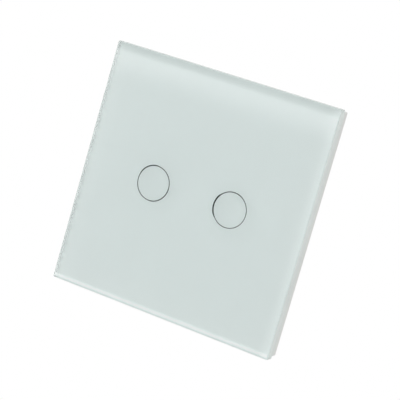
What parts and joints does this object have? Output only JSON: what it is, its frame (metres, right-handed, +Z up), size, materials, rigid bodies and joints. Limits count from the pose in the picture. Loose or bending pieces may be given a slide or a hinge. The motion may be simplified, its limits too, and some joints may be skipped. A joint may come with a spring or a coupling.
{
  "type": "touch light switch",
  "caption": "Square flush-mounted touch light switch: glass panel with touch rings in a slim frame, clipped over a relay module with screw terminals.",
  "frame": {"origin": "centre of the two wall-screw slots, on the wall plane", "axes": "+X right as seen from the front, +Y into the wall, +Z up; the glass faces -Y"},
  "size_m": [0.086, 0.0368, 0.086],
  "materials": {
    "glass": "polished",
    "white_print": "matte",
    "ring_ink": "printed",
    "tape": "matte",
    "frame_plastic": "satin",
    "shell_plastic": "fine texture",
    "zinc_steel": "zinc plated",
    "screw_steel": "zinc plated",
    "smoked_acrylic": "translucent",
    "spring_brass": "plated",
    "board": "solder mask",
    "black_plastic": "matte",
    "terminal_plastic": "satin",
    "lamp": "clear",
    "pin_metal": "tinned",
    "copper": "enamelled",
    "iron": "plated",
    "ferrite": "matte",
    "capacitor_sleeve": "sleeve",
    "film_case": "moulded",
    "varistor_coat": "dipped",
    "fuse_case": "moulded",
    "relay_blue": "moulded",
    "bobbin_plastic": "moulded"
  },
  "bodies": {
    "module": {"mounting_yoke": "zinc_steel", "front_cover": "shell_plastic", "housing_screws": "screw_steel", "rear_housing": "shell_plastic", "light_guide_left": "smoked_acrylic", "light_guide_right": "smoked_acrylic", "touch_spring_left": "spring_brass", "touch_spring_right": "spring_brass", "touch_board": "board", "touch_chip": "black_plastic", "indicator_leds": "lamp", "board_socket": "black_plastic", "board_header": "black_plastic", "header_pins": "pin_metal", "power_board": "board", "board_screws": "screw_steel", "smoothing_capacitor": "capacitor_sleeve", "film_capacitor": "film_case", "varistor": "varistor_coat", "fuse": "fuse_case", "transformer_core": "ferrite", "transformer_coil": "copper", "rectifier": "black_plastic", "relay_pins": "pin_metal", "relay_left_base": "black_plastic", "relay_left_yoke": "iron", "relay_left_bobbin": "bobbin_plastic", "relay_left_winding": "copper", "relay_left_contact": "copper", "relay_left_cover": "relay_blue", "relay_right_base": "black_plastic", "relay_right_yoke": "iron", "relay_right_bobbin": "bobbin_plastic", "relay_right_winding": "copper", "relay_right_contact": "copper", "relay_right_cover": "relay_blue", "terminal_body_1": "terminal_plastic", "terminal_bar_1": "pin_metal", "terminal_body_2": "terminal_plastic", "terminal_bar_2": "pin_metal", "terminal_body_3": "terminal_plastic", "terminal_bar_3": "pin_metal"},
    "front_panel": {"glass_panel": "glass", "ring_print": "ring_ink", "back_print": "white_print", "adhesive_tape": "tape", "panel_frame": "frame_plastic"},
    "relay_left_armature": {"relay_left_armature": "iron"},
    "relay_right_armature": {"relay_right_armature": "iron"},
    "terminal_screw_1": {"terminal_screw_1": "screw_steel"},
    "terminal_screw_2": {"terminal_screw_2": "screw_steel"},
    "terminal_screw_3": {"terminal_screw_3": "screw_steel"},
    "terminal_cage_1": {"terminal_cage_1": "pin_metal"},
    "terminal_cage_2": {"terminal_cage_2": "pin_metal"},
    "terminal_cage_3": {"terminal_cage_3": "pin_metal"}
  },
  "joints": [
    {"name": "panel_pull", "type": "slide", "parent": "module", "child": "front_panel", "axis": [0, -1, 0], "range_m": [0, 0.015]},
    {"name": "relay_left_pull_in", "type": "hinge", "parent": "module", "child": "relay_left_armature", "pos_m": [-0.011, 0.0241, -0.01], "axis": [1, 0, 0], "range_deg": [0, 4.5], "stiffness_Nm_per_rad": 0.02, "springref_deg": -2.86},
    {"name": "relay_right_pull_in", "type": "hinge", "parent": "module", "child": "relay_right_armature", "pos_m": [0.011, 0.0241, -0.01], "axis": [1, 0, 0], "range_deg": [0, 4.5], "stiffness_Nm_per_rad": 0.02, "springref_deg": -2.86},
    {"name": "terminal_1_turn", "type": "hinge", "parent": "module", "child": "terminal_screw_1", "pos_m": [-0.014, 0.026, -0.0217], "axis": [0, -1, 0], "range_deg": [0, 2160.05]},
    {"name": "terminal_1_clamp", "type": "slide", "parent": "module", "child": "terminal_cage_1", "axis": [0, 1, 0], "range_m": [0, 0.003]},
    {"name": "terminal_2_turn", "type": "hinge", "parent": "module", "child": "terminal_screw_2", "pos_m": [0, 0.026, -0.0217], "axis": [0, -1, 0], "range_deg": [0, 2160.05]},
    {"name": "terminal_2_clamp", "type": "slide", "parent": "module", "child": "terminal_cage_2", "axis": [0, 1, 0], "range_m": [0, 0.003]},
    {"name": "terminal_3_turn", "type": "hinge", "parent": "module", "child": "terminal_screw_3", "pos_m": [0.014, 0.026, -0.0217], "axis": [0, -1, 0], "range_deg": [0, 2160.05]},
    {"name": "terminal_3_clamp", "type": "slide", "parent": "module", "child": "terminal_cage_3", "axis": [0, 1, 0], "range_m": [0, 0.003]}
  ],
  "couplings": [
    {"joint": "terminal_1_turn", "follows": "terminal_1_clamp", "rad_per_m": 12566},
    {"joint": "terminal_2_turn", "follows": "terminal_2_clamp", "rad_per_m": 12566},
    {"joint": "terminal_3_turn", "follows": "terminal_3_clamp", "rad_per_m": 12566}
  ]
}
